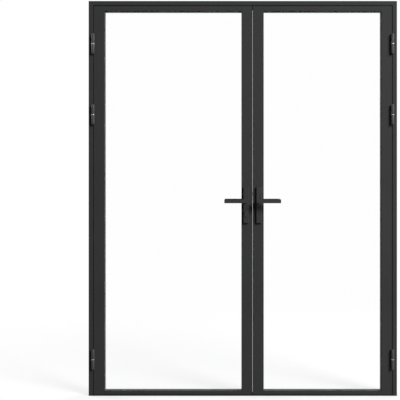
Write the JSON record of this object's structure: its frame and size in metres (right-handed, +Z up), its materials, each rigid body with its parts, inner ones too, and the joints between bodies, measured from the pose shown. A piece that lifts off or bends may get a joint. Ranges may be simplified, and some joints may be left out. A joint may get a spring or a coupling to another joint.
{
  "type": "french doors",
  "caption": "Pair of unequal hinged glazed door leaves in a slim metal frame, with lever handles, a lock and shoot bolts.",
  "frame": {"origin": "on the floor under the middle of the frame, halfway through the leaves", "axes": "+X along the frame towards the passive leaf, +Y from the front to the back, +Z up"},
  "size_m": [1.64, 0.17, 2.1],
  "materials": {
    "frame_coat": "dark grey powder coat",
    "handle_coat": "dark grey powder coat",
    "hinge_coat": "grey powder coat",
    "glass": "clear",
    "rubber": "matte black",
    "setting_block": "plain",
    "sill_metal": "dark anodised",
    "pin_metal": "dark burnished",
    "hinge_steel": "bright",
    "steel": "zinc plated",
    "cylinder_metal": "black plated"
  },
  "bodies": {
    "frame": {"left_jamb": "frame_coat", "right_jamb": "frame_coat", "head": "frame_coat", "threshold": "sill_metal", "frame_seal": "rubber", "left_top_frame_knuckle": "hinge_coat", "left_middle_frame_knuckle": "hinge_coat", "left_bottom_frame_knuckle": "hinge_coat", "right_top_frame_knuckle": "hinge_coat", "right_middle_frame_knuckle": "hinge_coat", "right_bottom_frame_knuckle": "hinge_coat", "hinge_pins": "pin_metal", "hinge_washers": "hinge_steel"},
    "left_leaf": {"left_hinge_stile": "frame_coat", "left_meeting_stile": "frame_coat", "left_top_rail": "frame_coat", "left_bottom_rail": "frame_coat", "left_glass": "glass", "left_glazing_beads": "frame_coat", "left_glazing_gaskets": "rubber", "left_setting_blocks": "setting_block", "left_top_leaf_knuckle": "hinge_coat", "left_middle_leaf_knuckle": "hinge_coat", "left_bottom_leaf_knuckle": "hinge_coat", "left_front_plate": "handle_coat", "left_rear_plate": "handle_coat", "left_handle_bolts": "steel", "meeting_seal": "rubber", "lock_case": "steel", "lock_forend": "steel", "cylinder_body": "cylinder_metal"},
    "right_leaf": {"right_hinge_stile": "frame_coat", "right_meeting_stile": "frame_coat", "right_top_rail": "frame_coat", "right_bottom_rail": "frame_coat", "right_glass": "glass", "right_glazing_beads": "frame_coat", "right_glazing_gaskets": "rubber", "right_setting_blocks": "setting_block", "right_top_leaf_knuckle": "hinge_coat", "right_middle_leaf_knuckle": "hinge_coat", "right_bottom_leaf_knuckle": "hinge_coat", "right_front_plate": "handle_coat", "right_rear_plate": "handle_coat", "right_handle_bolts": "steel", "strike_plate": "steel", "gearbox_case": "steel"},
    "left_handle": {"left_front_lever": "handle_coat", "left_rear_lever": "handle_coat", "left_spindle": "steel", "lock_follower": "steel"},
    "right_handle": {"right_front_lever": "handle_coat", "right_rear_lever": "handle_coat", "right_spindle": "steel", "gearbox_pinion": "steel"},
    "latch": {"latch_bolt": "steel"},
    "dead_bolt": {"deadbolt": "steel"},
    "key_plug": {"cylinder_plug": "cylinder_metal"},
    "top_bolt": {"top_shoot_bolt": "steel"},
    "bottom_bolt": {"bottom_shoot_bolt": "steel"}
  },
  "joints": [
    {"name": "left_leaf_swing", "type": "hinge", "parent": "frame", "child": "left_leaf", "pos_m": [-0.795, -0.034, 1], "axis": [0, 0, -1], "range_deg": [0, 170]},
    {"name": "right_leaf_swing", "type": "hinge", "parent": "frame", "child": "right_leaf", "pos_m": [0.795, -0.034, 1], "axis": [0, 0, 1], "range_deg": [0, 170]},
    {"name": "left_lever_turn", "type": "hinge", "parent": "left_leaf", "child": "left_handle", "pos_m": [0.018, 0, 1.036], "axis": [0, -1, 0], "range_deg": [0, 40], "stiffness_Nm_per_rad": 1, "springref_deg": -20.05},
    {"name": "latch_slide", "type": "slide", "parent": "left_leaf", "child": "latch", "axis": [-1, 0, 0], "range_m": [0, 0.0111]},
    {"name": "key_turn", "type": "hinge", "parent": "left_leaf", "child": "key_plug", "pos_m": [0.018, 0, 0.976], "axis": [0, 1, 0], "range_deg": [0, 360]},
    {"name": "deadbolt_throw", "type": "slide", "parent": "left_leaf", "child": "dead_bolt", "axis": [1, 0, 0], "range_m": [0, 0.016]},
    {"name": "right_lever_turn", "type": "hinge", "parent": "right_leaf", "child": "right_handle", "pos_m": [0.086, 0, 1.036], "axis": [0, 1, 0], "range_deg": [0, 90]},
    {"name": "top_bolt_slide", "type": "slide", "parent": "right_leaf", "child": "top_bolt", "axis": [0, 0, -1], "range_m": [0, 0.0126]},
    {"name": "bottom_bolt_slide", "type": "slide", "parent": "right_leaf", "child": "bottom_bolt", "axis": [0, 0, 1], "range_m": [0, 0.0126]}
  ],
  "couplings": [
    {"joint": "latch_slide", "follows": "left_lever_turn", "m_per_rad": 0.01575},
    {"joint": "key_turn", "follows": "deadbolt_throw", "rad_per_m": 392.7},
    {"joint": "top_bolt_slide", "follows": "right_lever_turn", "m_per_rad": 0.008},
    {"joint": "bottom_bolt_slide", "follows": "right_lever_turn", "m_per_rad": 0.008}
  ]
}
